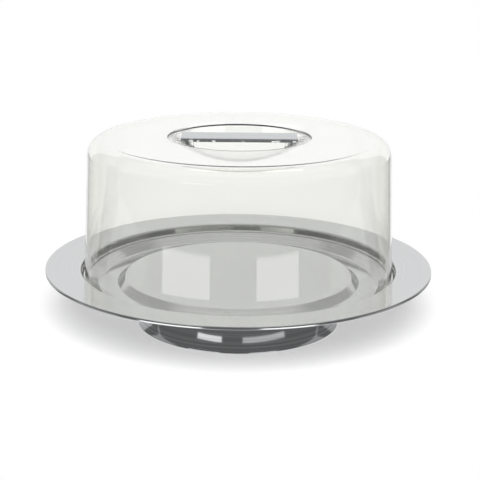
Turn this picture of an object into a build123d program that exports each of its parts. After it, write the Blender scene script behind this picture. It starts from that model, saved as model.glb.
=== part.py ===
"""Pedestal cake stand: a dished steel plate on a low bell foot, under a clear lift-off cover.

Millimetres, +Z up. The origin is on the table, under the plate's centre.
Every sheet and every moulding of revolution is drawn as its section in the XZ plane and turned round Z.
"""
from math import asin, cos, hypot, radians, sin, sqrt, tan
import os

from build123d import *

# Steel sheet of the plate and the foot
plate_sheet = 0.9
foot_sheet = 0.8

# Plate: depths are below the rim's top, runs are the widths of the slopes in plan
plate_diameter = 360.0
rim_height = 56.5
rim_fall = 1.9
rim_edge_bevel = 1.4
rim_edge_drop = 2.8
recess_wall_lean = 1.7
ledge_depth = 9.5
ledge_width = 6.6
trough_depth = 17.0
trough_outer_run = 8.2
centre_diameter = 212.0
centre_depth = 10.3
centre_run = 7.3

# Cover: drafted wall, round shoulder, flat top, finger dish
cover_diameter = 287.8
cover_top_height = 176.5
cover_wall = 2.2
cover_draft = 2.36
cover_shoulder = 15.0
seat_clearance = 1.4
dish_diameter = 124.8
dish_depth = 21.0
dish_edge_round = 1.6
dish_land_diameter = 8.0

# Handle bar across the dish
bar_end_gap = 9.4
bar_width = 30.0
bar_thickness = 3.3
bar_proud = 1.0
bar_corner = 1.5
bar_edge_break = 0.45

# Lugs under the bar's ends, hollow from below round a screw boss
lug_width = 22.0
lug_overlap = 11.0
lug_end_gap = 0.3
lug_edge_land = 1.5
lug_pocket_inset = 5.2
screw_boss_diameter = 8.4

# Screws of the handle bar and their washers
screw_inset = 5.0
screw_diameter = 3.0
screw_head_diameter = 5.6
screw_head_height = 2.0
screw_head_bevel = 0.6
screw_head_proud = 0.6
screw_tip_gap = 0.4
screw_play = 0.2
tapped_skin = 0.7
thread_clearance = 0.05
small_washer_diameter = 7.0
small_washer_thickness = 0.5

# Foot: a bell with an inturned edge over the non-slip ring
foot_diameter = 190.6
foot_wall_radius = 96.0
foot_curve_height = 19.0
foot_edge_bevel = 0.4
foot_edge_width = 8.0
ring_thickness = 0.5
ring_width = 5.5
ring_inset = 2.0

# Stud, washers and nut that clamp the foot to the plate
stud_diameter = 6.0
stud_length = 16.0
stud_tip_chamfer = 0.8
stud_hole_play = 0.5
washer_play = 0.2
clamp_washer_diameter = 40.0
clamp_washer_thickness = 1.5
spring_washer_diameter = 12.0
spring_washer_thickness = 1.6
spring_washer_split = 1.2
nut_hub_diameter = 11.0
nut_hub_height = 6.0
wing_span = 30.0
wing_drop = 11.0
wing_thickness = 2.4
wing_root_sink = 1.0
wing_root_drop = 1.5
wing_tip_height = 5.0
wing_tip_width = 4.5
wing_round = 1.4

# A section runs past the axis before it is trimmed there, and a cut runs past the face that it opens
past_axis = 10.0
cut_past = 0.3

os.makedirs("parts", exist_ok=True)

# Heights of the plate
ledge_height = rim_height - ledge_depth
trough_height = rim_height - trough_depth
centre_height = rim_height - centre_depth
centre_underside = centre_height - plate_sheet

# Radii of the plate: the recess follows the cover that it holds
plate_radius = plate_diameter / 2
cover_radius = cover_diameter / 2
ledge_outer = cover_radius + seat_clearance
ledge_inner = ledge_outer - ledge_width
trough_outer = ledge_inner - trough_outer_run
lip = ledge_outer + recess_wall_lean
centre_radius = centre_diameter / 2

# Plate: one sheet from the centre out to an edge that is turned down
with BuildPart() as plate:
    with BuildSketch(Plane.XZ):
        with BuildLine():
            sheet_top = Polyline(
                (0, centre_height),
                (centre_radius, centre_height),
                (centre_radius + centre_run, trough_height),
                (trough_outer, trough_height),
                (ledge_inner, ledge_height),
                (ledge_outer, ledge_height),
                (lip, rim_height - rim_fall),
                (plate_radius - rim_edge_bevel, rim_height),
                (plate_radius, rim_height - rim_edge_bevel),
                (plate_radius, rim_height - rim_edge_drop),
            )
            offset(sheet_top, amount=plate_sheet, side=Side.RIGHT, kind=Kind.INTERSECTION)
        make_face()
    revolve(axis=Axis.Z)
plate.part.label = "plate"
export_step(plate.part, "parts/plate.step")

# Foot: its wall curves in as a zone of a sphere, then runs on straight at the lean that it has reached
foot_radius = foot_diameter / 2
foot_top = centre_underside
foot_base = ring_thickness
curve_mid = foot_base + foot_curve_height / 2
curve_top = foot_base + foot_curve_height
wall_centre = foot_base - sqrt(foot_wall_radius**2 - foot_radius**2)
curve_mid_radius = sqrt(foot_wall_radius**2 - (curve_mid - wall_centre) ** 2)
curve_top_radius = sqrt(foot_wall_radius**2 - (curve_top - wall_centre) ** 2)
foot_top_radius = curve_top_radius - (foot_top - curve_top) * (curve_top - wall_centre) / curve_top_radius
stud_radius = stud_diameter / 2

with BuildPart() as foot:
    with BuildSketch(Plane.XZ) as foot_section:
        with BuildLine():
            base_line = Line((-past_axis, foot_base), (foot_radius, foot_base))
            wall_arc = ThreePointArc(
                base_line @ 1, (curve_mid_radius, curve_mid), (curve_top_radius, curve_top)
            )
            wall_line = Line(wall_arc @ 1, (foot_top_radius, foot_top))
            top_line = Line(wall_line @ 1, (-past_axis, foot_top))
            Line(top_line @ 1, base_line @ 0)
        make_face()
        chamfer(foot_section.vertices().sort_by(Axis.X)[-1], length=foot_edge_bevel)
        offset(amount=-foot_sheet, mode=Mode.SUBTRACT)
        with Locations((0, foot_base)):
            Rectangle(2 * (foot_radius - foot_edge_width), 2 * (foot_sheet + cut_past), mode=Mode.SUBTRACT)
        with Locations((0, foot_top)):
            Rectangle(stud_diameter + 2 * stud_hole_play, 2 * (foot_sheet + cut_past), mode=Mode.SUBTRACT)
        with Locations((0, foot_base)):
            Rectangle(past_axis, 2 * foot_top, align=(Align.MAX, Align.CENTER), mode=Mode.SUBTRACT)
    revolve(axis=Axis.Z)
foot.part.label = "foot"
export_step(foot.part, "parts/foot.step")

# Non-slip ring under the foot's inturned edge, its face on the table
with BuildPart() as foot_ring:
    with BuildSketch(Plane.XY):
        Circle(foot_radius - ring_inset)
        Circle(foot_radius - ring_inset - ring_width, mode=Mode.SUBTRACT)
    extrude(amount=ring_thickness)
foot_ring.part.label = "foot_ring"
export_step(foot_ring.part, "parts/foot_ring.step")

# Clamp, from the plate's underside down: stud, foot sheet, washers, wing nut
clamp_washer_top = foot_top - foot_sheet
spring_washer_top = clamp_washer_top - clamp_washer_thickness
nut_top = spring_washer_top - spring_washer_thickness
nut_end = nut_top - nut_hub_height
wing_end = nut_top - wing_drop

with BuildPart() as weld_stud:
    with BuildSketch(Plane.XY.offset(centre_underside)):
        Circle(stud_radius)
    extrude(amount=-stud_length)
    chamfer(weld_stud.edges().sort_by(Axis.Z)[0], length=stud_tip_chamfer)
weld_stud.part.label = "weld_stud"
export_step(weld_stud.part, "parts/weld_stud.step")

with BuildPart() as clamp_washer:
    with BuildSketch(Plane.XY.offset(clamp_washer_top)):
        Circle(clamp_washer_diameter / 2)
        Circle(stud_radius + washer_play, mode=Mode.SUBTRACT)
    extrude(amount=-clamp_washer_thickness)
clamp_washer.part.label = "clamp_washer"
export_step(clamp_washer.part, "parts/clamp_washer.step")

with BuildPart() as spring_washer:
    with BuildSketch(Plane.XY.offset(spring_washer_top)):
        Circle(spring_washer_diameter / 2)
        Circle(stud_radius + washer_play, mode=Mode.SUBTRACT)
        with Locations((spring_washer_diameter / 2, 0)):
            Rectangle(spring_washer_diameter, spring_washer_split, mode=Mode.SUBTRACT)
    extrude(amount=-spring_washer_thickness)
spring_washer.part.label = "spring_washer"
export_step(spring_washer.part, "parts/spring_washer.step")

# Wing nut: a round hub with two wings that reach down and out
wing_root = nut_hub_diameter / 2 - wing_root_sink
wing_tip = wing_span / 2

with BuildPart() as wing_nut:
    with BuildSketch(Plane.XY.offset(nut_top)):
        Circle(nut_hub_diameter / 2)
    extrude(amount=-nut_hub_height)
    with BuildSketch(Plane.XZ):
        with BuildLine():
            FilletPolyline(
                (wing_root, nut_top - wing_root_drop),
                (wing_tip, wing_end + wing_tip_height),
                (wing_tip, wing_end),
                (wing_tip - wing_tip_width, wing_end),
                (wing_root, nut_end),
                radius=wing_round,
                close=True,
            )
        make_face()
        mirror(about=Plane.YZ)
    extrude(amount=wing_thickness / 2, both=True)
    with BuildSketch(Plane.XY.offset(nut_top)):
        Circle(stud_radius + thread_clearance)
    extrude(amount=-nut_hub_height, mode=Mode.SUBTRACT)
wing_nut.part.label = "wing_nut"
export_step(wing_nut.part, "parts/wing_nut.step")

# Dish of the cover: a spherical cap round a small flat land
dish_radius = dish_diameter / 2
dish_land = dish_land_diameter / 2
dish_floor = cover_top_height - dish_depth
sphere_rise = (dish_radius**2 - dish_land**2 + dish_depth**2) / (2 * dish_depth)
sphere_radius = hypot(sphere_rise, dish_land)
sphere_height = dish_floor + sphere_rise
dish_mid_angle = asin(dish_radius / sphere_radius) / 2
dish_mid = (sphere_radius * sin(dish_mid_angle), sphere_height - sphere_radius * cos(dish_mid_angle))

# Bar and lugs: the bar's ends stay inside the dish, and the screws come up through the lugs
bar_length = dish_diameter - 2 * bar_end_gap
bar_top = cover_top_height + bar_proud
bar_underside = bar_top - bar_thickness
lug_inner = bar_length / 2 - lug_overlap
lug_outer = dish_radius + dish_edge_round
pocket_inner = lug_inner + cover_wall
pocket_length = dish_radius - lug_pocket_inset - pocket_inner
pocket_width = lug_width - 2 * cover_wall
screw_x = bar_length / 2 - screw_inset
screw_spots = [(screw_x, 0), (-screw_x, 0)]
dish_underside_at_screw = sphere_height - sqrt((sphere_radius + cover_wall) ** 2 - screw_x**2)
head_end = dish_underside_at_screw - screw_head_proud
washer_face = head_end + screw_head_height
boss_face = washer_face + small_washer_thickness
tapped_depth = bar_thickness - tapped_skin
screw_tip = bar_underside + tapped_depth - screw_tip_gap

# Lugs: wedges from the dish's wall up to the bar, sloping up to the dish's edge beyond its ends
with BuildPart() as lugs:
    with BuildSketch(Plane.XZ):
        with BuildLine():
            Polyline(
                (lug_inner, dish_floor),
                (lug_inner, bar_underside),
                (bar_length / 2 + lug_end_gap, bar_underside),
                (dish_radius - lug_edge_land, cover_top_height),
                (lug_outer, cover_top_height),
                (lug_outer, dish_floor),
                close=True,
            )
        make_face()
        mirror(about=Plane.YZ)
    extrude(amount=lug_width / 2, both=True)
    with Locations((0, 0, sphere_height)):
        Sphere(sphere_radius + cover_wall / 2, mode=Mode.INTERSECT)

# Dome: one moulding of even wall, cut open at the mouth, with the lugs cored from below
draft = tan(radians(cover_draft))
cover_height = cover_top_height - ledge_height
cover_top_radius = cover_radius - draft * cover_height
below_mouth = ledge_height - cover_wall

with BuildPart() as dome:
    with BuildSketch(Plane.XZ) as dome_section:
        with BuildLine():
            base_line = Line((-past_axis, below_mouth), (cover_radius + draft * cover_wall, below_mouth))
            draft_line = Line(base_line @ 1, (cover_top_radius, cover_top_height))
            top_line = Line(draft_line @ 1, (dish_radius, cover_top_height))
            dish_arc = ThreePointArc(top_line @ 1, dish_mid, (dish_land, dish_floor))
            land_line = Line(dish_arc @ 1, (-past_axis, dish_floor))
            Line(land_line @ 1, base_line @ 0)
        make_face()
        fillet(dome_section.vertices().group_by(Axis.Y)[-1].sort_by(Axis.X)[-1], radius=cover_shoulder)
        fillet(dome_section.vertices().group_by(Axis.Y)[-1].sort_by(Axis.X)[0], radius=dish_edge_round)
        offset(amount=-cover_wall, mode=Mode.SUBTRACT)
        with Locations((0, ledge_height)):
            Rectangle(2 * cover_diameter, cover_height, align=(Align.CENTER, Align.MAX), mode=Mode.SUBTRACT)
            Rectangle(past_axis, 2 * cover_height, align=(Align.MAX, Align.CENTER), mode=Mode.SUBTRACT)
    revolve(axis=Axis.Z)
    add(lugs.part)
    with BuildSketch(Plane.XY.offset(bar_underside - cover_wall)):
        with Locations((pocket_inner, 0)):
            Rectangle(pocket_length, pocket_width, align=(Align.MIN, Align.CENTER))
        mirror(about=Plane.YZ)
    extrude(amount=dish_floor - bar_underside, mode=Mode.SUBTRACT)
    with BuildSketch(Plane.XY.offset(boss_face)):
        with Locations(*screw_spots):
            Circle(screw_boss_diameter / 2)
    extrude(amount=bar_underside - cover_wall / 2 - boss_face)
    with BuildSketch(Plane.XY.offset(dish_floor)):
        with Locations(*screw_spots):
            Circle(screw_diameter / 2 + screw_play)
    extrude(amount=bar_underside - dish_floor, mode=Mode.SUBTRACT)
dome.part.label = "dome"
export_step(dome.part, "parts/dome.step")

with BuildPart() as handle_bar:
    with BuildSketch(Plane.XY.offset(bar_underside)):
        RectangleRounded(bar_length, bar_width, bar_corner)
    extrude(amount=bar_thickness)
    chamfer(handle_bar.faces().sort_by(Axis.Z)[-1].edges(), length=bar_edge_break)
    with BuildSketch(Plane.XY.offset(bar_underside)):
        with Locations(*screw_spots):
            Circle(screw_diameter / 2 + thread_clearance)
    extrude(amount=tapped_depth, mode=Mode.SUBTRACT)
handle_bar.part.label = "handle_bar"
export_step(handle_bar.part, "parts/handle_bar.step")

# Fasteners of the bar, up from inside the lugs
with BuildPart() as handle_washers:
    with BuildSketch(Plane.XY.offset(washer_face)):
        with Locations(*screw_spots):
            Circle(small_washer_diameter / 2)
            Circle(screw_diameter / 2 + screw_play, mode=Mode.SUBTRACT)
    extrude(amount=small_washer_thickness)
handle_washers.part.label = "handle_washers"
export_step(handle_washers.part, "parts/handle_washers.step")

with BuildPart() as handle_screws:
    with BuildSketch(Plane.XY.offset(head_end)):
        with Locations(*screw_spots):
            Circle(screw_head_diameter / 2)
    extrude(amount=screw_head_height)
    chamfer(handle_screws.edges().group_by(Axis.Z)[0], length=screw_head_bevel)
    with BuildSketch(Plane.XY.offset(washer_face)):
        with Locations(*screw_spots):
            Circle(screw_diameter / 2)
    extrude(amount=screw_tip - washer_face)
handle_screws.part.label = "handle_screws"
export_step(handle_screws.part, "parts/handle_screws.step")
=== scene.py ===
"""Looks of a pedestal cake stand: pressed steel plate and foot, clear cover, metal handle bar.

Metres, +Z up, the origin on the table under the plate's centre. Every new surface is worked out with
numpy from the sizes in the panel, and heights and radii that the frame fixes are read from it.
"""

from math import acos, asin, atan2, cos, hypot, pi, radians, sin, sqrt, tan

import bmesh
import bpy
import numpy as np
from bpy.props import FloatProperty, FloatVectorProperty, IntProperty, PointerProperty
from mathutils import Matrix, Vector


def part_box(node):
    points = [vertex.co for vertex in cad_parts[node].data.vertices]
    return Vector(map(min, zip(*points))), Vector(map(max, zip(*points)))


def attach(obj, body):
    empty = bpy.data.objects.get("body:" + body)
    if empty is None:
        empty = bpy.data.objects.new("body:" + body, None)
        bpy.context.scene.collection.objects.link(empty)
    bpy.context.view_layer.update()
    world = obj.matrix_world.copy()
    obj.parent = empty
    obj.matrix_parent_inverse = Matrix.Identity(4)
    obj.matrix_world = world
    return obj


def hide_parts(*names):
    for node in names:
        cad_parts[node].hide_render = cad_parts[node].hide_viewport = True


bl_info = {
    "name": "Pedestal cake stand",
    "version": (1, 0, 0),
    "blender": (4, 5, 0),
    "location": "View3D > Sidebar > Cake stand",
    "description": "Builds the surfaces, finishes and studio of a pedestal cake stand",
    "category": "Object",
}

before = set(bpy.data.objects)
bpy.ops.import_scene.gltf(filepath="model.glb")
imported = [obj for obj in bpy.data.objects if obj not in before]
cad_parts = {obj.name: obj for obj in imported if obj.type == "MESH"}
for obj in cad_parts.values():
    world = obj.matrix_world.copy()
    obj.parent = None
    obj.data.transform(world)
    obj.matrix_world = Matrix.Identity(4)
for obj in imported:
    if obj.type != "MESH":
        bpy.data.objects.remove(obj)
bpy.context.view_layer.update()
MM = 0.001
WHITE = (1.0, 1.0, 1.0, 1.0)

# Distances from the end of a run to the point beside it, and under which points or edges are merged
FINE_STEP = 0.4 * MM
MERGE_POINTS = 1e-7
MERGE_EDGES = 1e-8

# Angles between faces above which an edge of a turned piece, a moulded one or a thread is shaded sharp
TURNED_SHARP = radians(40)
MOULDED_SHARP = radians(30)
THREAD_SHARP = radians(35)


# Panel properties


def number(name, value, description, **options):
    """A property that is a number, of the kind that the options say."""
    return FloatProperty(name=name, description=description, default=value, **options)


def length(name, millimetres, description):
    """A length property, written in millimetres and kept in metres."""
    return number(name, millimetres * MM, description, min=0.0, unit="LENGTH", precision=4)


def degrees(name, value, description):
    """An angle property, written in degrees and kept in radians."""
    return number(name, radians(value), description, subtype="ANGLE")


def share(name, value, description):
    """A property between 0 and 1."""
    return number(name, value, description, min=0.0, max=1.0, subtype="FACTOR")


def colour(name, value, description):
    """A linear colour property."""
    return FloatVectorProperty(
        name=name, description=description, default=value, subtype="COLOR", size=3, min=0.0, max=1.0
    )


class StandSizes(bpy.types.PropertyGroup):
    """Sizes of the plate and the foot."""

    plate_sheet: length("Plate sheet", 0.9, "Thickness of the plate")
    foot_sheet: length("Foot sheet", 0.8, "Thickness of the foot")
    rim_fall: length("Rim fall", 1.9, "Height that the rim loses from its edge to the recess")
    hem_edge: length("Hem edge", 0.65, "Radius of the upper and lower edges of the rim's folded hem")
    hem_face: length("Hem face", 8.6, "Radius that the outer face of the hem is curved with")
    hem_lean: degrees("Hem lean", 12, "Angle that the hem's face leans back at its top")
    lip_bend: length("Lip bend", 2.6, "Radius where the rim turns down into the recess")
    lip_radius: length("Lip", 147.0, "Radius at which the rim turns down")
    ledge_outer: length("Ledge outside", 145.3, "Outer radius of the ledge that the cover stands on")
    ledge_inner: length("Ledge inside", 138.7, "Inner radius of the ledge")
    ledge_depth: length("Ledge depth", 9.5, "Depth of the ledge below the rim")
    ledge_bend: length("Ledge bend", 1.3, "Radius of the bends beside the ledge")
    trough_outer: length("Trough outside", 130.5, "Outer radius of the trough's floor")
    trough_inner: length("Trough inside", 113.3, "Inner radius of the trough's floor")
    trough_bend: length("Trough bend", 5.0, "Radius of the bend outside the trough's floor")
    centre_radius: length("Raised centre", 106.0, "Radius of the raised centre")
    centre_depth: length("Centre depth", 10.3, "Depth of the raised centre below the rim")
    centre_bend: length("Centre bend", 2.5, "Radius of the bends of the step up to the centre")
    foot_wall: length("Foot wall radius", 96.0, "Radius of the sphere that the foot's wall is a zone of")
    foot_curve: length("Foot curve height", 19.0, "Height up to which the wall is curved")
    foot_edge_bend: length("Foot edge bend", 0.8, "Radius of the bend at the foot's lower edge")
    foot_shoulder: length("Foot shoulder", 9.0, "Radius of the bend at the top of the foot")
    foot_flange: length("Foot flange", 8.0, "Width of the foot's inturned edge")
    foot_hole: length("Stud hole", 3.5, "Radius of the hole for the stud")
    segments: IntProperty(name="Segments", description="Steps round a turned piece", default=360, min=48)


class CoverSizes(bpy.types.PropertyGroup):
    """Sizes of the cover and its handle bar."""

    wall: length("Wall", 2.2, "Thickness of the moulding")
    shoulder: length("Shoulder", 15.0, "Outer radius of the round shoulder")
    top_radius: length("Top", 138.56, "Radius of the wall's line at the height of the top")
    mouth_round: length("Mouth round", 0.6, "Radius of the edges of the mouth")
    dish_radius: length("Dish", 62.4, "Radius of the finger dish")
    dish_depth: length("Dish depth", 21.0, "Depth of the finger dish")
    dish_land: length("Dish land", 4.0, "Radius of the flat middle of the dish")
    dish_edge: length("Dish edge", 1.6, "Radius of the dish's upper edge")
    lug_overlap: length("Lug overlap", 11.0, "Length of a lug that reaches under the bar")
    lug_width: length("Lug width", 22.0, "Width of a lug")
    lug_gap: length("Lug end gap", 0.3, "Gap between a lug's upper edge and the bar's end")
    lug_land: length("Lug edge land", 1.5, "Width of a lug's flat top at the dish's edge")
    lug_inset: length("Pocket inset", 5.2, "Distance from the dish's edge to the pocket in a lug")
    boss_radius: length("Screw boss", 4.2, "Radius of the boss round a screw")
    screw_hole: length("Screw hole", 1.7, "Radius of the hole in the boss")
    bar_corner: length("Bar corner", 1.5, "Radius of the bar's upright corners")
    bar_edge: length("Bar edge", 0.45, "Radius of the bar's upper and lower edges")


class FastenerSizes(bpy.types.PropertyGroup):
    """Sizes of the stud's and the screws' threads and heads."""

    stud_radius: length("Stud", 3.0, "Radius of the stud's thread")
    stud_pitch: length("Stud pitch", 1.0, "Rise of the stud's thread in a turn")
    stud_tip: length("Stud tip", 0.8, "Chamfer of the stud's tip")
    stud_plain: length("Stud plain part", 2.0, "Length without a thread above the stud's thread")
    screw_radius: length("Screw", 1.5, "Radius of a screw's thread")
    screw_pitch: length("Screw pitch", 0.5, "Rise of a screw's thread in a turn")
    screw_tip: length("Screw tip", 0.4, "Chamfer of a screw's tip")
    tapped_skin: length("Skin", 0.7, "Metal left above a screw's hole in the bar")
    head_radius: length("Head", 2.8, "Radius of a screw's head")
    head_height: length("Head height", 2.0, "Height of a screw's head")
    head_round: length("Head round", 0.8, "Radius of the head's lower edge")
    recess_width: length("Recess width", 0.75, "Width of an arm of the cross recess")
    recess_reach: length("Recess reach", 1.6, "Distance from the screw's axis to the end of an arm")
    recess_depth: length("Recess depth", 1.1, "Depth of the cross recess")


class Finishes(bpy.types.PropertyGroup):
    """Colours and roughnesses of the materials."""

    steel: colour("Steel", (0.61, 0.615, 0.62), "Colour of the polished steel")
    steel_streak: colour("Steel streak", (0.44, 0.45, 0.465), "Colour in the streaks of the polish")
    steel_roughness: share("Steel roughness", 0.11, "Roughness of the polished steel")
    satin: colour("Satin steel", (0.57, 0.59, 0.61), "Colour of the brushed handle bar")
    satin_roughness: share("Satin roughness", 0.26, "Roughness of the brushed handle bar")
    clear: colour("Clear plastic", (0.985, 0.988, 0.964), "Tint of the clear moulding")
    clear_edge: colour("Clear plastic edge", (0.97, 0.97, 0.91), "Tint of the wall where it is seen edge-on")
    fastener: colour("Fastener steel", (0.78, 0.79, 0.80), "Colour of the plated fasteners")
    rubber: colour("Rubber", (0.055, 0.055, 0.057), "Colour of the non-slip ring")


class StudioSettings(bpy.types.PropertyGroup):
    """Camera, floor and light."""

    camera_distance: length("Camera distance", 1189.2, "Distance from the camera to its aim")
    camera_elevation: degrees("Camera elevation", 15.92, "Angle of the camera above the aim")
    camera_roll: degrees("Camera roll", 0.51, "Turn of the camera about its own axis")
    camera_shift: number("Camera shift", 0.0029, "Sideways shift of the camera")
    aim_height: length("Aim height", 78.1, "Height that the camera looks at")
    lens: number("Lens", 95.19, "Focal length in millimetres")
    shell_radius: length("Shell radius", 2000, "Radius of the studio shell that is reflected")
    floor_glow: share("Floor glow", 0.44, "Share of the floor's white that doesn't come from the lamps")
    ambient_light: share("Ambient light", 0.17, "Light that comes from all round")
    key_elevation: degrees("Key elevation", 41, "Height angle of the soft front light")
    key_spread: degrees("Key spread", 30, "Angle that the soft front light fills")
    front_light: share("Front", 0.185, "Brightness of the dim front of the studio")
    upper_light: share("Upper wall", 0.55, "Brightness of the upper part of the studio's walls")
    ceiling_light: share("Ceiling", 0.85, "Brightness of the ceiling")
    wall_light: share("Side walls", 0.5, "Brightness of the side walls")
    rear_light: share("Rear floor", 0.6, "Brightness of the floor behind")
    near_light: share("Near floor", 0.95, "Brightness of the floor close to the stand")
    window_light: number("Windows", 0.8, "Brightness of the windows")
    # The strips are a painted reflection of the windows, a glow on the shell's lower half
    strip_light: number("Strips", 2.2, "Brightness of the windows' image in the floor")


# Lines and surfaces


def unit(vector):
    """The vector divided by its length."""
    return vector / np.linalg.norm(vector)


def rounded(corners, bends, steps=10):
    """An open line through the corners, each inner one rounded by an arc tangent to its two runs.

    With h half the angle between the runs and r the bend, the arc starts and ends r / tan h from the
    corner, its centre is r / sin h along the angle's bisector, and a point between is the sum of the
    two end radii weighted by sin((1 - k) w) / sin w and sin(k w) / sin w, w the angle swept.
    """
    corners = np.asarray(corners, float)
    arcs = [corners[:1]]
    for before, corner, after, bend in zip(corners, corners[1:], corners[2:], bends):
        back, ahead = unit(before - corner), unit(after - corner)
        half = acos(np.clip(back @ ahead, -1.0, 1.0)) / 2
        centre = corner + unit(back + ahead) * bend / sin(half)
        start = corner + back * bend / tan(half) - centre
        end = corner + ahead * bend / tan(half) - centre
        sweep = pi - 2 * half
        k = np.linspace(0.0, 1.0, steps + 1)[:, None]
        arcs.append(centre + (np.sin((1 - k) * sweep) * start + np.sin(k * sweep) * end) / sin(sweep))
    arcs.append(corners[-1:])
    return joined(arcs)


def joined(stretches):
    """Stretches of points in one line, with a point close to each end of every run between them."""
    line = [stretches[0]]
    for before, after in zip(stretches, stretches[1:]):
        run = after[0] - before[-1]
        margin = run * min(0.25, FINE_STEP / max(np.linalg.norm(run), 1e-9))
        line += [[before[-1] + margin, after[0] - margin], after]
    return np.concatenate(line)


def arc(centre, radius, first, last, steps):
    """Points at the radius round the centre, at even angles from first to last, in radians."""
    angle = np.linspace(first, last, steps + 1)
    return np.stack([centre[0] + radius * np.cos(angle), centre[1] + radius * np.sin(angle)], axis=1)


def shifted(line, distance):
    """The line moved to its left by the distance, each point along the bisector of its two runs."""
    runs = np.diff(line, axis=0)
    runs /= np.linalg.norm(runs, axis=1, keepdims=True)
    before = np.concatenate([runs[:1], runs])
    after = np.concatenate([runs, runs[-1:]])
    left = np.stack([-(before + after)[:, 1], (before + after)[:, 0]], axis=1)
    left /= np.linalg.norm(left, axis=1, keepdims=True)
    half_turn = np.sum(left * np.stack([-before[:, 1], before[:, 0]], axis=1), axis=1)
    return line + left * distance / half_turn[:, None]


def grid_mesh(name, points, round_rows=False, round_columns=True):
    """A mesh of quads over a grid of points, rows by columns, closed round either way."""
    rows, columns = points.shape[:2]
    index = np.arange(rows * columns).reshape(rows, columns)
    if round_rows:
        index = np.concatenate([index, index[:1]])
    if round_columns:
        index = np.concatenate([index, index[:, :1]], axis=1)
    quads = np.stack([index[:-1, :-1], index[:-1, 1:], index[1:, 1:], index[1:, :-1]], axis=-1)
    mesh = bpy.data.meshes.new(name)
    mesh.from_pydata(points.reshape(-1, 3).tolist(), [], quads.reshape(-1, 4).tolist())
    return mesh


def closed(mesh, sharp=None):
    """Merges the points that coincide, turns the faces outwards and smooths them below the sharp angle."""
    work = bmesh.new()
    work.from_mesh(mesh)
    bmesh.ops.remove_doubles(work, verts=work.verts, dist=MERGE_POINTS)
    bmesh.ops.dissolve_degenerate(work, edges=work.edges, dist=MERGE_EDGES)
    bmesh.ops.recalc_face_normals(work, faces=work.faces)
    work.to_mesh(mesh)
    work.free()
    mesh.shade_smooth()
    if sharp is not None:
        mesh.set_sharp_from_angle(angle=sharp)
    return mesh


def turned(name, section, segments, ring=False, sharp=TURNED_SHARP):
    """A surface of revolution round Z: (r, z) at angle a is (r cos a, r sin a, z).

    The section runs from the axis back to the axis, or, for a ring, closes on itself.
    """
    angle = np.arange(segments) * 2 * pi / segments
    radius, height = section.T
    x, y = np.outer(radius, np.cos(angle)), np.outer(radius, np.sin(angle))
    points = np.stack([x, y, np.outer(height, np.ones(segments))], axis=-1)
    return closed(grid_mesh(name, points, round_rows=ring), sharp)


def capped(mesh):
    """Closes each open end of the mesh with a face."""
    work = bmesh.new()
    work.from_mesh(mesh)
    bmesh.ops.holes_fill(work, edges=work.edges)
    work.to_mesh(mesh)
    work.free()
    return mesh


def prism(name, outline, low, high, axis):
    """The outline, a closed line in the plane across the axis, carried from low to high along it."""
    outline = np.asarray(outline, float)
    across = [i for i in range(3) if i != "XYZ".index(axis)]
    points = np.zeros((2, len(outline), 3))
    points[..., across] = outline
    points[0, :, 3 - sum(across)] = low
    points[1, :, 3 - sum(across)] = high
    return closed(capped(grid_mesh(name, points)), MOULDED_SHARP)


def placed(name, data):
    """A new object in the scene that holds the data."""
    made = bpy.data.objects.new(name, data)
    bpy.context.scene.collection.objects.link(made)
    return made


def piece(name, mesh, material, body, slot, *nodes):
    """An object that shows the mesh, rides on the body and stands for the CAD nodes."""
    shown = placed(name, mesh)
    mesh.materials.clear()
    mesh.materials.append(material)
    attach(shown, body)
    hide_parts(*nodes)


def combined(name, base, steps):
    """The base mesh after each (operation, mesh) of the steps, such as ("UNION", lug)."""
    objects = [placed(name, base)]
    for operation, mesh in steps:
        objects.append(placed(name + "_part", mesh))
        modifier = objects[0].modifiers.new(operation, "BOOLEAN")
        modifier.operation = operation
        modifier.solver = "MANIFOLD"
        modifier.object = objects[-1]
    graph = bpy.context.evaluated_depsgraph_get()
    mesh = bpy.data.meshes.new_from_object(objects[0].evaluated_get(graph))
    mesh.name = name
    for item in objects:
        bpy.data.objects.remove(item)
    if not len(mesh.polygons):
        raise RuntimeError(f"{name}: the solids could not be combined")
    return mesh


def circle(centre, radius, steps):
    """Points of a circle, in the plane of its centre."""
    return arc(centre, radius, 0.0, 2 * pi * (1 - 1 / steps), steps - 1)


def rectangle(low, high, half):
    """The corners of a rectangle from low to high in x, and as far as the half to both sides in y."""
    return [(low, -half), (high, -half), (high, half), (low, half)]


def inner_radius(node):
    """The least distance from the axis to a side of the node's box, so that a turned piece stays in it."""
    low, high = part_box(node)
    return min(-low[0], -low[1], high[0], high[1])


def screw_place():
    """The distance from the plate's axis to the screws' axes."""
    low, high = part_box("handle_washers")
    return high[0] - (high[1] - low[1]) / 2


# Materials


NOISE_ROUGHNESS = 0.55


class Wire:
    """A socket that a shader's nodes read. + - * with a number or another wire add Math nodes."""

    def __init__(self, shader, socket):
        self.shader = shader
        self.socket = socket

    def math(self, operation, first, second=0.0):
        """A Math node's value, for two numbers or wires."""
        return self.shader.node("ShaderNodeMath", {"operation": operation}, {0: first, 1: second})

    def __add__(self, other):
        return self.math("ADD", self, other)

    __radd__ = __add__

    def __mul__(self, other):
        return self.math("MULTIPLY", self, other)

    __rmul__ = __mul__

    def __sub__(self, other):
        return self.math("SUBTRACT", self, other)

    def __rsub__(self, other):
        return self.math("SUBTRACT", other, self)

    def absolute(self):
        """The value without its sign."""
        return self.math("ABSOLUTE", self)

    def between(self, low, high):
        """0 below low, 1 above high, smooth between."""
        values = {"Value": self, "From Min": low, "From Max": high}
        return self.shader.node("ShaderNodeMapRange", {"interpolation_type": "SMOOTHSTEP"}, values)


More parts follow.
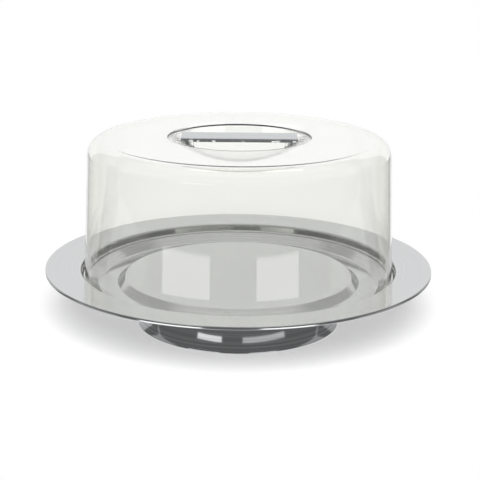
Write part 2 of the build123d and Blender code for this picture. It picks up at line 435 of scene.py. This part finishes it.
class Shader:
    """A material or a world under construction."""

    def __init__(self, owner):
        owner.use_nodes = True
        self.tree = owner.node_tree
        self.tree.nodes.clear()

    def node(self, kind, settings=None, values=None, output=0):
        """Adds a node, makes its settings first, then sets or links its sockets, and returns one output."""
        made = self.tree.nodes.new(kind)
        for name, value in (settings or {}).items():
            setattr(made, name, value)
        for name, value in (values or {}).items():
            if isinstance(value, Wire):
                self.tree.links.new(value.socket, made.inputs[name])
            else:
                made.inputs[name].default_value = value
        return Wire(self, made.outputs[output]) if made.outputs else made

    def mix(self, factor, first, second):
        """The first colour where the factor is 0, the second where it is 1."""
        values = {0: factor, 6: opaque(first), 7: opaque(second)}
        return self.node("ShaderNodeMix", {"data_type": "RGBA"}, values, output=2)

    def place(self):
        """The point's place in the object."""
        return self.node("ShaderNodeTexCoord", output=3)

    def axes(self):
        """The x, y and z of the point's place in the object."""
        split = self.node("ShaderNodeSeparateXYZ", {}, {0: self.place()})
        return [Wire(self, socket) for socket in split.socket.node.outputs]

    def scaled(self, factors):
        """The point's place with each axis multiplied by its factor."""
        return self.node("ShaderNodeVectorMath", {"operation": "MULTIPLY"}, {0: self.place(), 1: factors})

    def noise(self, detail, scale=1.0, stretch=None):
        """Noise round 0.5, on the point's place or on that place scaled by the stretch."""
        vector = self.scaled(stretch) if stretch else self.place()
        values = {"Vector": vector, "Scale": scale, "Detail": detail, "Roughness": NOISE_ROUGHNESS}
        return self.node("ShaderNodeTexNoise", {}, values)

    def radius(self):
        """The point's distance from the Z axis."""
        flat = self.scaled((1.0, 1.0, 0.0))
        return self.node("ShaderNodeVectorMath", {"operation": "LENGTH"}, {0: flat}, output=1)

    def rings(self, scale, detail=3.0):
        """Noise that changes only with the distance from the Z axis."""
        values = {"W": self.radius(), "Scale": scale, "Detail": detail}
        return self.node("ShaderNodeTexNoise", {"noise_dimensions": "1D"}, values)

    def bump(self, height, distance):
        """A normal tilted by the height, whose full range is the distance in metres."""
        return self.node("ShaderNodeBump", {}, {"Height": height, "Distance": distance, "Strength": 1.0})

    def surface(self, values):
        """A Principled surface with these sockets, sent to the output."""
        principled = self.node("ShaderNodeBsdfPrincipled", {}, values)
        self.node("ShaderNodeOutputMaterial", {}, {"Surface": principled})


def new_material(name):
    """An empty material and its shader."""
    material = bpy.data.materials.new(name)
    return material, Shader(material)


def opaque(value):
    """A colour with its alpha, or a wire as it is."""
    return value if isinstance(value, Wire) else (*value[:3], 1.0)


def shade(tint, factor):
    """The colour with each of its channels multiplied by the factor."""
    return [factor * channel for channel in tint]


def band(value, low, high, soft):
    """1 between low and high, falling to 0 over the soft distance outside them."""
    return value.between(low - soft, low) * (1.0 - value.between(high, high + soft))


def brightest(level, *others):
    """The greatest of the levels, of which at least one of the first two is a wire."""
    for other in others:
        wire = level if isinstance(level, Wire) else other
        level = wire.math("MAXIMUM", level, other)
    return level


def turned_steel(name, finish, roughness, streaks):
    """Steel polished while it turned: fine rings in its colour and gloss, faint smears, tiny grooves."""
    material, shader = new_material(name)
    fine = shader.rings(scale=2600.0, detail=4.0)
    broad = shader.rings(scale=900.0)
    smear = shader.noise(scale=14.0, detail=3.0)
    grain = fine * 0.6 + broad * 0.4
    streak = grain.between(0.62, 0.38) * streaks
    shader.surface(
        {
            "Base Color": shader.mix(streak, finish.steel, finish.steel_streak),
            "Metallic": 1.0,
            "Roughness": fine * (roughness * 0.7) + smear * (roughness * 0.6) + roughness * 0.35,
            "Normal": shader.bump(fine, distance=0.000002 * streaks),
        }
    )
    return material


def brushed_steel(name, finish):
    """Steel brushed along X on its flat faces, with smooth, slightly wavy edges that were polished."""
    material, shader = new_material(name)
    scratch = shader.noise(stretch=(9.0, 1500.0, 1500.0), detail=4.0)
    broad = shader.noise(stretch=(4.0, 220.0, 220.0), detail=2.0)
    grain = scratch * 0.7 + broad * 0.3
    facing = shader.node("ShaderNodeTexCoord", output=1)
    upright = shader.node("ShaderNodeSeparateXYZ", {}, {0: facing}, output=2)
    edge = 1.0 - upright.absolute().between(0.3, 0.8)
    wave = shader.noise(stretch=(1.0, 0.0, 0.0), scale=60.0, detail=1.0)
    flat_height = grain * 0.000008
    edge_height = wave * 0.0045
    height = flat_height + (edge_height - flat_height) * edge
    shader.surface(
        {
            "Base Color": shader.mix(grain.between(0.35, 0.7), shade(finish.satin, 0.86), finish.satin),
            "Metallic": 1.0,
            "Roughness": (grain * 0.16 + (finish.satin_roughness - 0.08)) * (1.0 - edge * 0.5),
            "Normal": shader.bump(height, distance=1.0),
        }
    )
    return material


# Zones of the cover in metres. The third number of a band is the distance over which its edges fade.
WALL_TOP = 0.158, 0.17
LUG_LENGTH = 0.0418, 0.0645, 0.0002
LUG_WIDTH = -1.0, 0.0112, 0.0003
LUG_TOP = 0.1738, 0.1741
LUG_CLEARNESS, LUG_ROUGHNESS = 0.5, 0.33
DISH_RING = 0.0602, 0.0658, 0.0006
DISH_RING_END, DISH_RING_FOOT = (0.016, 0.05), (0.165, 0.17)
DISH_RING_CLEARNESS = 0.65


def clear_plastic(name, finish):
    """Clear moulded plastic with a faint tint and slight wipe marks in its gloss.

    The lugs under the bar are matt up to their tops, and they and the two ends of the dish's edge beside
    them let part of the light straight through.
    """
    material, shader = new_material(name)
    wipe = shader.noise(stretch=(20.0, 20.0, 60.0), detail=5.0)
    haze = shader.noise(scale=9.0, detail=2.0)
    facing = shader.node("ShaderNodeLayerWeight", {}, {"Blend": 0.5}, output=1)
    x, y, height = shader.axes()
    edge = facing.between(0.45, 0.9) * (1.0 - height.between(*WALL_TOP))
    tint = shader.mix(haze.between(0.3, 0.7), finish.clear, shade(finish.clear, 0.993))
    across = y.absolute()
    lug = band(x.absolute(), *LUG_LENGTH) * band(across, *LUG_WIDTH)
    matt = lug * (1.0 - height.between(*LUG_TOP))
    ring = band(shader.radius(), *DISH_RING) * height.between(*DISH_RING_FOOT)
    ends = ring * (1.0 - across.between(*DISH_RING_END))
    shader.surface(
        {
            "Base Color": shader.mix(edge, tint, finish.clear_edge),
            "Roughness": wipe.between(0.5, 0.8) * 0.02 + 0.005 + matt * LUG_ROUGHNESS,
            "Alpha": 1.0 - brightest(lug * LUG_CLEARNESS, ends * DISH_RING_CLEARNESS),
            "IOR": 1.49,
            "Transmission Weight": 1.0,
        }
    )
    return material


def plated_steel(name, finish):
    """Bright zinc plate on fasteners: fine spangle and slightly uneven gloss."""
    material, shader = new_material(name)
    spangle = shader.noise(scale=900.0, detail=3.0)
    patch = shader.noise(scale=120.0, detail=2.0)
    dull = shade(finish.fastener, 0.88)
    shader.surface(
        {
            "Base Color": shader.mix(patch.between(0.35, 0.7), dull, finish.fastener),
            "Metallic": 1.0,
            "Roughness": spangle * 0.12 + patch * 0.1 + 0.14,
            "Normal": shader.bump(spangle, distance=0.00001),
        }
    )
    return material


def moulded_rubber(name, finish):
    """Dark rubber: fine pores, paler and duller where it is worn."""
    material, shader = new_material(name)
    pores = shader.noise(scale=1800.0, detail=3.0)
    worn = shader.noise(scale=60.0, detail=3.0)
    pale = shade(finish.rubber, 1.7)
    shader.surface(
        {
            "Base Color": shader.mix(worn.between(0.4, 0.75), finish.rubber, pale),
            "Roughness": worn * 0.25 + 0.6,
            "Normal": shader.bump(pores, distance=0.00004),
        }
    )
    return material


def dress(node, material):
    """Gives a CAD node that stays in view its material."""
    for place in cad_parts[node].material_slots:
        place.material = material


# Pieces


# Angle that the hem's lower edge turns through, from upright until it meets the sheet's underside
HEM_TURN = radians(195)
# Distance that the foot's corner stands outside its rounded edge
FOOT_CORNER = 0.05 * MM
# Overlaps of solids that are joined or cut
HOLE_OVERLAP, RECESS_OVERLAP, ROD_OVERLAP = 0.1 * MM, 0.2 * MM, 0.5 * MM
# Bend at the upper edge of a screw's head
HEAD_BEND = 0.1 * MM
# Depth of a thread over its pitch, and the rows of points in one turn of it
THREAD_DEPTH, THREAD_ROWS = 0.6134, 12


def plate_section(sizes):
    """The plate from the axis out along the top, round the folded hem and back along the underside.

    The hem's face is an arc of a large radius that stands upright at its foot and leans back by the lean at
    its top, and arcs of the edge radius run from it into the top and round under the sheet.
    """
    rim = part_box("plate")[1][2]
    edge = inner_radius("plate")
    ledge = rim - sizes.ledge_depth
    centre = rim - sizes.centre_depth
    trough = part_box("plate")[0][2] + sizes.plate_sheet
    bend, face, lean = sizes.hem_edge, sizes.hem_face, sizes.hem_lean
    upper = edge - face + (face - bend) * cos(lean), rim - bend
    upright = upper[1] - (face - bend) * sin(lean)
    top = rounded(
        [
            (0.0, centre),
            (sizes.centre_radius, centre),
            (sizes.trough_inner, trough),
            (sizes.trough_outer, trough),
            (sizes.ledge_inner, ledge),
            (sizes.ledge_outer, ledge),
            (sizes.lip_radius, rim - sizes.rim_fall),
            (upper[0], rim),
        ],
        [sizes.centre_bend] * 2 + [sizes.trough_bend] + [sizes.ledge_bend] * 2 + [sizes.lip_bend],
    )
    underside = shifted(top, -sizes.plate_sheet)[::-1]
    hem = np.concatenate(
        [
            arc(upper, bend, pi / 2, lean, steps=10)[1:],
            arc((edge - face, upright), face, lean, 0.0, steps=6)[1:],
            arc((edge - bend, upright), bend, 0.0, -HEM_TURN, steps=20)[1:],
        ]
    )
    return joined([top, hem, underside[underside[:, 0] < hem[-1, 0]]])


class CAKESTAND_OT_plate(bpy.types.Operator):
    """Turns the dished plate with its recess for the cover and its folded edge"""

    bl_idname = "cakestand.plate"
    bl_label = "Plate"

    def execute(self, context):
        sizes, finish = context.scene.stand_sizes, context.scene.finishes
        mesh = turned("plate_sheet", plate_section(sizes), sizes.segments)
        material = turned_steel("polished_plate_steel", finish, finish.steel_roughness, streaks=0.35)
        piece("plate_sheet", mesh, material, "stand", "polished_steel", "plate")
        return {"FINISHED"}


def foot_section(sizes):
    """The foot's sheet: from the stud hole out, down the wall, round the edge and in, then back inside."""
    low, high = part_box("foot")
    base, top = low[2], high[2]
    radius = inner_radius("foot") + FOOT_CORNER
    centre = base - sqrt(sizes.foot_wall**2 - radius**2)
    curve_top = base + sizes.foot_curve
    curve_radius = sqrt(sizes.foot_wall**2 - (curve_top - centre) ** 2)
    top_radius = curve_radius - (top - curve_top) * (curve_top - centre) / curve_radius
    first = atan2(curve_top - centre, curve_radius)
    last = asin((base + 3 * sizes.foot_edge_bend - centre) / sizes.foot_wall)
    wall = arc((0.0, centre), sizes.foot_wall, first, last, steps=24)
    corners = [(sizes.foot_hole, top), (top_radius, top), wall[0]]
    shoulder = rounded(corners, [sizes.foot_shoulder], steps=14)
    edge = rounded([wall[-1], (radius, base), (radius - sizes.foot_flange, base)], [sizes.foot_edge_bend])
    outside = np.concatenate([shoulder, wall[1:-1], edge])
    inside = shifted(outside, -sizes.foot_sheet)[::-1]
    return joined([outside, inside])


class CAKESTAND_OT_foot(bpy.types.Operator):
    """Turns the bell foot with its inturned edge"""

    bl_idname = "cakestand.foot"
    bl_label = "Foot"

    def execute(self, context):
        sizes, finish = context.scene.stand_sizes, context.scene.finishes
        mesh = turned("foot_bell", foot_section(sizes), sizes.segments, ring=True)
        material = turned_steel("polished_foot_steel", finish, finish.steel_roughness * 0.75, streaks=1.0)
        piece("foot_bell", mesh, material, "stand", "polished_steel", "foot")
        return {"FINISHED"}


def dish_sphere(sizes):
    """(height of the centre, radius) of the sphere that the dish's inside is a cap of."""
    rise = (sizes.dish_radius**2 - sizes.dish_land**2 + sizes.dish_depth**2) / (2 * sizes.dish_depth)
    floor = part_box("dome")[1][2] - sizes.dish_depth
    return floor + rise, hypot(rise, sizes.dish_land)


def dome_face(sizes, inset, bends):
    """One face of the cover's wall, from the middle of its mouth up, over the shoulder and into the dish.

    inset is 0 for the outside and the wall's thickness for the inside.
    """
    low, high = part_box("dome")
    foot = inner_radius("dome")
    mouth, top = low[2], high[2] - inset
    slope = (foot - sizes.top_radius) / (high[2] - mouth)
    slant = inset * hypot(1.0, slope)
    centre, radius = dish_sphere(sizes)
    radius += inset
    dish = sqrt(radius**2 - (centre - top) ** 2)
    start = atan2(dish, centre - top) - 2 * bends[-1] / radius
    land = asin(sizes.dish_land / radius)
    cap = arc((0.0, centre), radius, start - pi / 2, land - pi / 2, steps=40)
    line = rounded(
        [
            (foot - sizes.wall / 2, mouth),
            (foot - slant, mouth),
            (sizes.top_radius - slant + slope * inset, top),
            (dish, top),
            cap[0],
        ],
        bends,
        steps=16,
    )
    return joined([line, cap[1:], np.array([(0.0, cap[-1, 1])])])


def lug_solid(sizes, side):
    """A lug's block: its outline in the XZ plane carried across, on the side where x has that sign."""
    bar_low, bar_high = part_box("handle_bar")
    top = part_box("dome")[1][2]
    floor = top - sizes.dish_depth
    inner = bar_high[0] - sizes.lug_overlap
    outer = sizes.dish_radius + sizes.dish_edge
    outline = [
        (inner, floor),
        (inner, bar_low[2]),
        (bar_high[0] + sizes.lug_gap, bar_low[2]),
        (sizes.dish_radius - sizes.lug_land, top),
        (outer, top),
        (outer, floor),
    ]
    half = sizes.lug_width / 2
    return prism("lug", np.multiply(outline, (side, 1)), -half, half, "Y")


def ball(height, radius):
    """The lower half of a sphere round the point at the height on the axis, and a cylinder above it."""
    section = arc((0.0, height), radius, -pi / 2, 0.0, steps=200)
    section = np.concatenate([section, [(radius, height + radius), (0.0, height + radius)]])
    return turned("ball", section, segments=240, sharp=None)


def dome_mesh(sizes, segments):
    """The cover's shell with its two lugs, cored from below round the screw bosses."""
    outside = dome_face(sizes, 0.0, [sizes.mouth_round, sizes.shoulder, sizes.dish_edge])
    inner_bends = [sizes.mouth_round, sizes.shoulder - sizes.wall, sizes.dish_edge / 2]
    inside = dome_face(sizes, sizes.wall, inner_bends)
    shell = turned("shell", np.concatenate([inside[::-1], outside[1:]]), segments)
    washer_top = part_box("handle_washers")[1][2]
    bar_low, bar_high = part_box("handle_bar")
    pocket = bar_high[0] - sizes.lug_overlap + sizes.wall, sizes.dish_radius - sizes.lug_inset
    roof = bar_low[2] - sizes.wall
    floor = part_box("dome")[1][2] - sizes.dish_depth
    half = sizes.lug_width / 2 - sizes.wall
    centre, radius = dish_sphere(sizes)
    steps = []
    for side in (-1, 1):
        lug = combined("lug", lug_solid(sizes, side), [("INTERSECT", ball(centre, radius + sizes.wall / 2))])
        box = rectangle(*sorted((side * pocket[0], side * pocket[1])), half)
        screw = side * screw_place(), 0.0
        boss = circle(screw, sizes.boss_radius, steps=64)
        hole = circle(screw, sizes.screw_hole, steps=48)
        steps += [
            ("UNION", lug),
            ("DIFFERENCE", prism("pocket", box, floor, roof, "Z")),
            ("UNION", prism("boss", boss, washer_top, roof + sizes.wall / 2, "Z")),
            ("DIFFERENCE", prism("hole", hole, floor, bar_low[2] + HOLE_OVERLAP, "Z")),
        ]
    return closed(combined("cover_moulding", shell, steps), MOULDED_SHARP)


class CAKESTAND_OT_cover(bpy.types.Operator):
    """Moulds the clear cover with its finger dish and its two lugs"""

    bl_idname = "cakestand.cover"
    bl_label = "Cover"

    def execute(self, context):
        scene = context.scene
        mesh = dome_mesh(scene.cover_sizes, scene.stand_sizes.segments)
        plastic = clear_plastic("clear_cover_plastic", scene.finishes)
        piece("cover_moulding", mesh, plastic, "cover", "clear_plastic", "dome")
        return {"FINISHED"}


def bar_mesh(sizes, fasteners):
    """The handle bar: its rounded outline carried up over both rounded edges, and the screws' holes.

    A ring of the grid is the outline's core rectangle grown by the corner radius less the inset, and the
    inset and height follow a quarter circle at each edge.
    """
    low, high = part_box("handle_bar")
    edge = sizes.bar_edge
    edge_rows, corner_columns = 7, 13
    quarter = np.linspace(0.0, pi / 2, edge_rows)
    inset = np.concatenate([edge * (1 - np.sin(quarter)), edge * (1 - np.cos(quarter))])
    height = np.concatenate([low[2] + edge * (1 - np.cos(quarter)), high[2] - edge * (1 - np.sin(quarter))])
    corner = sizes.bar_corner
    turn = np.concatenate([np.linspace(0.0, pi / 2, corner_columns) + k * pi / 2 for k in range(4)])
    core = np.repeat([(1, 1), (-1, 1), (-1, -1), (1, -1)], corner_columns, axis=0) * (
        (high[0] - low[0]) / 2 - corner,
        (high[1] - low[1]) / 2 - corner,
    )
    direction = np.stack([np.cos(turn), np.sin(turn)], axis=1)
    rings = core[None] + direction[None] * (corner - inset)[:, None, None]
    points = np.concatenate([rings, np.broadcast_to(height[:, None, None], (*rings.shape[:2], 1))], axis=2)
    mesh = closed(capped(grid_mesh("bar", points)))
    top = high[2] - fasteners.tapped_skin
    holes = []
    for side in (-1, 1):
        ring = circle((side * screw_place(), 0.0), fasteners.screw_radius, steps=48)
        holes.append(("DIFFERENCE", prism("tapped_hole", ring, low[2] - edge, top, "Z")))
    return closed(combined("bar", mesh, holes), TURNED_SHARP)


def threaded_rod(name, ends, radius, pitch, plain, chamfers, columns):
    """A threaded rod on the Z axis, its thread left plain for a length at each end.

    At height z and angle a the thread cuts the crest radius by its depth times the triangle wave
    1 - |2 p - 1|, p the fractional part of z / pitch - a / (2 pi), which fades in over a turn past each
    plain length. Chamfers hold the radius below a cone at each end.
    """
    low, high = ends
    steps = int(round((high - low) / pitch * THREAD_ROWS))
    height = np.linspace(low, high, steps + 1)[:, None]
    angle = np.arange(columns)[None] * 2 * pi / columns
    phase = (height / pitch - angle / (2 * pi)) % 1.0
    below, above = height - low - plain[0], high - plain[1] - height
    fade = np.clip(below / pitch, 0.0, 1.0) * np.clip(above / pitch, 0.0, 1.0)
    reach = radius - THREAD_DEPTH * pitch * (1.0 - np.abs(2 * phase - 1.0)) * fade
    cone = np.minimum(height - low - chamfers[0], high - height - chamfers[1]) + radius
    reach = np.minimum(reach, cone)
    x, y = reach * np.cos(angle), reach * np.sin(angle)
    points = np.stack([x, y, np.broadcast_to(height, reach.shape)], axis=-1)
    axis = (0.0, 0.0, 1.0)
    rows = np.concatenate([points[:1] * axis, points, points[-1:] * axis])
    return closed(grid_mesh(name, rows), THREAD_SHARP)


def screw_mesh(sizes, side):
    """One of the bar's screws, on the side where x has that sign, with a cross recess in its head."""
    low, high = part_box("handle_screws")
    base, tip = low[2], high[2]
    shoulder = base + sizes.head_height
    corners = [(0.0, base), (sizes.head_radius, base), (sizes.head_radius, shoulder), (0.0, shoulder)]
    head = turned("head", rounded(corners, [sizes.head_round, HEAD_BEND]), segments=64)
    ends, plain, chamfers = (shoulder - ROD_OVERLAP, tip), (0.0, 0.0), (0.0, sizes.screw_tip)
    rod = threaded_rod("rod", ends, sizes.screw_radius, sizes.screw_pitch, plain, chamfers, columns=40)
    steps = [("UNION", rod)]
    arm_reach, arm_half = sizes.recess_reach, sizes.recess_width / 2
    for reach, half in ((arm_reach, arm_half), (arm_half, arm_reach)):
        arm = rectangle(-reach, reach, half)
        cut = prism("arm", arm, base - RECESS_OVERLAP, base + sizes.recess_depth, "Z")
        steps.append(("DIFFERENCE", cut))
    mesh = combined("screw", head, steps)
    mesh.transform(Matrix.Translation((side * screw_place(), 0.0, 0.0)))
    return mesh


class CAKESTAND_OT_handle(bpy.types.Operator):
    """Makes the brushed handle bar and its screws, and finishes the washers"""

    bl_idname = "cakestand.handle"
    bl_label = "Handle"

    def execute(self, context):
        scene = context.scene
        sizes = scene.fastener_sizes
        mesh = bar_mesh(scene.cover_sizes, sizes)
        brushed = brushed_steel("brushed_bar_steel", scene.finishes)
        piece("handle_bar_plate", mesh, brushed, "cover", "satin_steel", "handle_bar")
        plated = plated_steel("plated_screw_steel", scene.finishes)
        screws = combined("bar_screws", screw_mesh(sizes, -1), [("UNION", screw_mesh(sizes, 1))])
        piece("bar_screws", closed(screws, THREAD_SHARP), plated, "cover", "fastener_steel", "handle_screws")
        dress("handle_washers", plated)
        return {"FINISHED"}


class CAKESTAND_OT_underside(bpy.types.Operator):
    """Threads the stud and finishes the non-slip ring, the washers and the wing nut under the plate"""

    bl_idname = "cakestand.underside"
    bl_label = "Underside"

    def execute(self, context):
        finish, sizes = context.scene.finishes, context.scene.fastener_sizes
        dress("foot_ring", moulded_rubber("ring_rubber", finish))
        plated = plated_steel("plated_clamp_steel", finish)
        low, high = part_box("weld_stud")
        ends, plain, chamfers = (low[2], high[2]), (0.0, sizes.stud_plain), (sizes.stud_tip, 0.0)
        stud = threaded_rod("stud", ends, sizes.stud_radius, sizes.stud_pitch, plain, chamfers, columns=72)
        piece("threaded_stud", stud, plated, "stand", "fastener_steel", "weld_stud")
        for node in ("clamp_washer", "spring_washer", "wing_nut"):
            dress(node, plated)
        return {"FINISHED"}


# Studio


FLOOR_REACH = 6.0

# The shell's layout: azimuths in degrees from the front, rises as the sine of a height angle. The third
# number of a band is the distance over which its edges fade, and a slanting edge is given by its value
# at 0 and its change for each degree or unit of rise.
WINDOWS = (-44, -18, 1.5), (6, 52, 1.5)
WINDOW_RISE = 0.095, 0.19, 0.006
LEFT_WINDOW_GAIN = 1.7
# Painted reflection: the windows' image in a glossy floor, painted as bright strips of glow low on the shell
PAINTED_WINDOW_REFLECTIONS = (-54, -20, 1), (13, 42, 1)
PAINTED_REFLECTION_RISE = -0.37, -0.15, 0.01
SIDE_WALL = 79, 97, 3
SIDE_WALL_FOOT = 0.1, 0.14
WEDGE_FRONT_EDGE, WEDGE_REAR_EDGE = (-0.259, 0.0016), (0.516, -0.0066)
WEDGE_FADE = -0.004, 0.004
WEDGE_START = 66, 70
LINE_SIDE, LINE_SLANT = (99, 101.5, 1.5), 49
LINE_RISE = -0.11, 0.02, 0.02
LINE_LEVEL = 0.8
REAR_EDGE, REAR_EDGE_LEAST = (99.5, -116), 110
REAR_FADE = -1.5, 1.5
REAR_RIGHT_START, REAR_RIGHT_DIM = (0, 10), 0.2
NEAR_FLOOR_TOP = -0.5, -0.38
NEAR_FLOOR_SIDE, NEAR_FLOOR_FRONT = (10, 30), 0.5
WHITE_REAR = 143, 158
UPPER_WALL = 0.28, 0.32
CEILING = 0.6, 0.88
OPENING_SIDE, OPENING_RISE = (134, 140), (0.0, 0.62, 0.02)


def slanted(value, start, change):
    """A level that is start where the value is 0 and changes by the change for each unit of it."""
    return value * change + start


def studio_rays(shader):
    """1 for camera, reflected and refracted rays, 0 for the rays that only carry light to matt surfaces."""
    kinds = "Is Camera Ray", "Is Glossy Ray", "Is Transmission Ray"
    return brightest(*(shader.node("ShaderNodeLightPath", output=kind) for kind in kinds))


def mirrored(shader):
    """1 where the view has been reflected on its way, 0 where it is direct or only came through plastic."""
    bounces = shader.node("ShaderNodeLightPath", output="Glossy Depth")
    return bounces.math("MINIMUM", bounces, 1.0)


def floor_material(settings):
    """Pale floor: part of its white comes from the lamps, which gives shadows, and the rest is a glow.

    Reflections look through it to the lower half of the shell.
    """
    material, shader = new_material("pale_floor")
    glow = shader.node("ShaderNodeEmission", {}, {"Strength": studio_rays(shader) * settings.floor_glow})
    paint = 1.0 - settings.floor_glow
    matt = shader.node("ShaderNodeBsdfDiffuse", {}, {"Color": (paint, paint, paint, 1.0)})
    pale = shader.node("ShaderNodeAddShader", {}, {0: glow, 1: matt})
    clear = shader.node("ShaderNodeBsdfTransparent")
    both = shader.node("ShaderNodeMixShader", {}, {0: mirrored(shader), 1: pale, 2: clear})
    shader.node("ShaderNodeOutputMaterial", {}, {"Surface": both})
    return material


def shell_material(settings):
    """The studio that is reflected: dim in front, pale at the sides and overhead, open to the white behind.

    angle is the azimuth, side the azimuth without its sign, and rise the sine of the height angle. Two
    windows stand in front, and below them their reflection in a glossy floor is painted on the shell as a
    glow. The floor is pale close to the stand, in a wedge at each side and behind a slanting edge, and a
    thin line slants up at each side.
    """
    material, shader = new_material("studio_shell")
    x, y, z = shader.axes()
    angle = x.math("ARCTAN2", x, 0.0 - y) * (180 / pi)
    side = angle.absolute()
    rise = z * (1 / settings.shell_radius)
    left, right = (band(angle, *window) for window in WINDOWS)
    windows = (left * LEFT_WINDOW_GAIN + right) * band(rise, *WINDOW_RISE)
    # Painted reflection of the windows in a glossy floor, a glow on the shell's lower half
    left_painted_reflection, right_painted_reflection = (band(angle, *image) for image in PAINTED_WINDOW_REFLECTIONS)
    painted_reflections = (left_painted_reflection + right_painted_reflection) * band(rise, *PAINTED_REFLECTION_RISE)
    walls = band(side, *SIDE_WALL) * rise.between(*SIDE_WALL_FOOT)
    wedge_top = side.math("MINIMUM", slanted(side, *WEDGE_FRONT_EDGE), slanted(side, *WEDGE_REAR_EDGE))
    wedge = (wedge_top - rise).between(*WEDGE_FADE) * side.between(*WEDGE_START)
    line = band(side - rise * LINE_SLANT, *LINE_SIDE) * band(rise, *LINE_RISE)
    rear_edge = side.math("MAXIMUM", slanted(rise, *REAR_EDGE), REAR_EDGE_LEAST)
    rear_level = 1.0 - angle.between(*REAR_RIGHT_START) * REAR_RIGHT_DIM
    rear = (side - rear_edge).between(*REAR_FADE) * rear_level
    near_level = side.between(*NEAR_FLOOR_SIDE) * (1.0 - NEAR_FLOOR_FRONT) + NEAR_FLOOR_FRONT
    near = (1.0 - rise.between(*NEAR_FLOOR_TOP)) * near_level
    strength = brightest(
        settings.front_light,
        windows * settings.window_light,
        painted_reflections * settings.strip_light,
        brightest(walls, wedge, line * LINE_LEVEL) * settings.wall_light,
        rear * settings.rear_light,
        side.between(*WHITE_REAR),
        rise.between(*UPPER_WALL) * settings.upper_light,
        rise.between(*CEILING) * settings.ceiling_light,
        near * settings.near_light,
    )
    glow = shader.node("ShaderNodeEmission", {}, {"Strength": strength})
    clear = shader.node("ShaderNodeBsdfTransparent")
    opening = side.between(*OPENING_SIDE) * band(rise, *OPENING_RISE)
    unseen = brightest(opening, 1.0 - mirrored(shader))
    both = shader.node("ShaderNodeMixShader", {}, {0: unseen, 1: glow, 2: clear})
    shader.node("ShaderNodeOutputMaterial", {}, {"Surface": both})
    return material


def place_camera(settings):
    """The camera at the photograph's angle, looking at the aim, rolled about its own axis."""
    data = bpy.data.cameras.new("camera")
    data.lens = settings.lens
    data.shift_x = settings.camera_shift
    camera = placed("camera", data)
    tilt = settings.camera_elevation
    back = Vector((0.0, -cos(tilt), sin(tilt))) * settings.camera_distance
    turn = Matrix.Rotation(pi / 2 - tilt, 4, "X") @ Matrix.Rotation(settings.camera_roll, 4, "Z")
    camera.matrix_world = Matrix.Translation(back + Vector((0.0, 0.0, settings.aim_height))) @ turn
    bpy.context.scene.camera = camera


class CAKESTAND_OT_studio(bpy.types.Operator):
    """Sets the floor, the shell that the steel reflects, the light and the camera"""

    bl_idname = "cakestand.studio"
    bl_label = "Studio"

    def execute(self, context):
        scene, settings = context.scene, context.scene.studio
        scene.view_settings.view_transform = "Standard"
        world = bpy.data.worlds.new("studio")
        scene.world = world
        shader = Shader(world)
        ambient = settings.ambient_light
        strength = studio_rays(shader) * (1.0 - ambient) + ambient
        light = shader.node("ShaderNodeBackground", {}, {"Color": WHITE, "Strength": strength})
        shader.node("ShaderNodeOutputWorld", {}, {"Surface": light})

        limits = -FLOOR_REACH, FLOOR_REACH
        floor_points = np.array([[(x, y, 0.0) for x in limits] for y in limits])
        floor = placed("floor", grid_mesh("floor", floor_points, round_columns=False))
        floor.data.materials.append(floor_material(settings))

        half_circle = arc((0.0, 0.0), settings.shell_radius, -pi / 2, pi / 2, steps=96)
        shell = placed("shell", turned("shell", half_circle, segments=192, sharp=None))
        shell.data.materials.append(shell_material(settings))
        shell.visible_camera = shell.visible_diffuse = shell.visible_shadow = False

        lamp = bpy.data.lights.new("key", "SUN")
        lamp.angle = settings.key_spread
        lamp.energy = (1.0 - ambient) * pi / sin(settings.key_elevation)
        key = placed("key", lamp)
        key.matrix_world = Matrix.Rotation(pi / 2 - settings.key_elevation, 4, "X")
        key.visible_glossy = False

        place_camera(settings)
        return {"FINISHED"}


class CAKESTAND_PT_panel(bpy.types.Panel):
    """The pieces of the cake stand and their sizes, in the 3D view's sidebar"""

    bl_idname = "CAKESTAND_PT_panel"
    bl_label = "Cake stand"
    bl_space_type = "VIEW_3D"
    bl_region_type = "UI"
    bl_category = "Cake stand"

    def draw(self, context):
        for operator in OPERATORS:
            self.layout.operator(operator.bl_idname)
        for name in GROUPS:
            group = getattr(context.scene, name)
            box = self.layout.box()
            for key in group.bl_rna.properties.keys():
                if key not in ("rna_type", "name"):
                    box.prop(group, key)


GROUPS = {
    "stand_sizes": StandSizes,
    "cover_sizes": CoverSizes,
    "fastener_sizes": FastenerSizes,
    "finishes": Finishes,
    "studio": StudioSettings,
}
OPERATORS = (
    CAKESTAND_OT_plate,
    CAKESTAND_OT_foot,
    CAKESTAND_OT_cover,
    CAKESTAND_OT_handle,
    CAKESTAND_OT_underside,
    CAKESTAND_OT_studio,
)
CLASSES = (*GROUPS.values(), *OPERATORS, CAKESTAND_PT_panel)


def register():
    for made in CLASSES:
        bpy.utils.register_class(made)
    for name, group in GROUPS.items():
        setattr(bpy.types.Scene, name, PointerProperty(type=group))


def unregister():
    for name in GROUPS:
        delattr(bpy.types.Scene, name)
    for made in reversed(CLASSES):
        bpy.utils.unregister_class(made)


def main():
    register()
    for step in ("plate", "foot", "cover", "handle", "underside", "studio"):
        getattr(bpy.ops.cakestand, step)()


if __name__ == "__main__":
    main()
